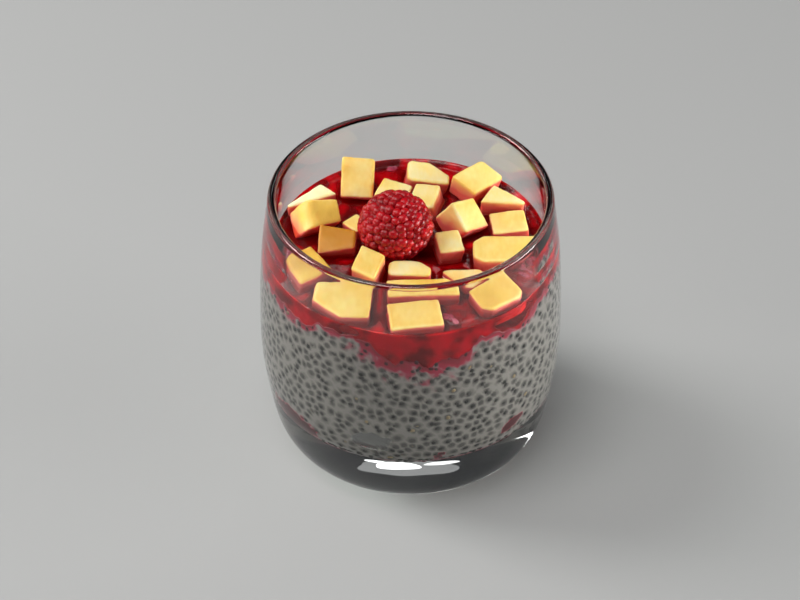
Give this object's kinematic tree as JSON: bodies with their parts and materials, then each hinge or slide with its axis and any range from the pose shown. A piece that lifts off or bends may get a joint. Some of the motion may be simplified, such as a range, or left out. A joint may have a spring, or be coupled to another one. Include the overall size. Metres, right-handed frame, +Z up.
{
  "type": "chia pudding in a glass",
  "caption": "Small tumbler of chia seed pudding under a layer of dark red berry sauce, topped with diced mango and a raspberry.",
  "frame": {"origin": "centre of the foot ring, on the surface that the tumbler stands on", "axes": "+Z up along the tumbler's axis, -Y towards the side that the picture shows, +X to its right"},
  "size_m": [0.085, 0.085, 0.0825],
  "materials": {
    "clear_glass": "clear and polished",
    "chia_pudding": "milky gel full of dark seeds",
    "berry_sauce": "wet, see-through at thin edges",
    "mango_flesh": "moist cut fruit",
    "raspberry_skin": "satin with a pale bloom"
  },
  "bodies": {
    "root": {"glass": "clear_glass", "chia_pudding": "chia_pudding", "berry_sauce": "berry_sauce", "raspberry": "raspberry_skin", "mango_01": "mango_flesh", "mango_02": "mango_flesh", "mango_03": "mango_flesh", "mango_04": "mango_flesh", "mango_05": "mango_flesh", "mango_06": "mango_flesh", "mango_07": "mango_flesh", "mango_08": "mango_flesh", "mango_09": "mango_flesh", "mango_10": "mango_flesh", "mango_11": "mango_flesh", "mango_12": "mango_flesh", "mango_13": "mango_flesh", "mango_14": "mango_flesh", "mango_15": "mango_flesh", "mango_16": "mango_flesh", "mango_17": "mango_flesh", "mango_18": "mango_flesh", "mango_19": "mango_flesh", "mango_20": "mango_flesh", "mango_21": "mango_flesh", "mango_22": "mango_flesh"}
  },
  "joints": []
}
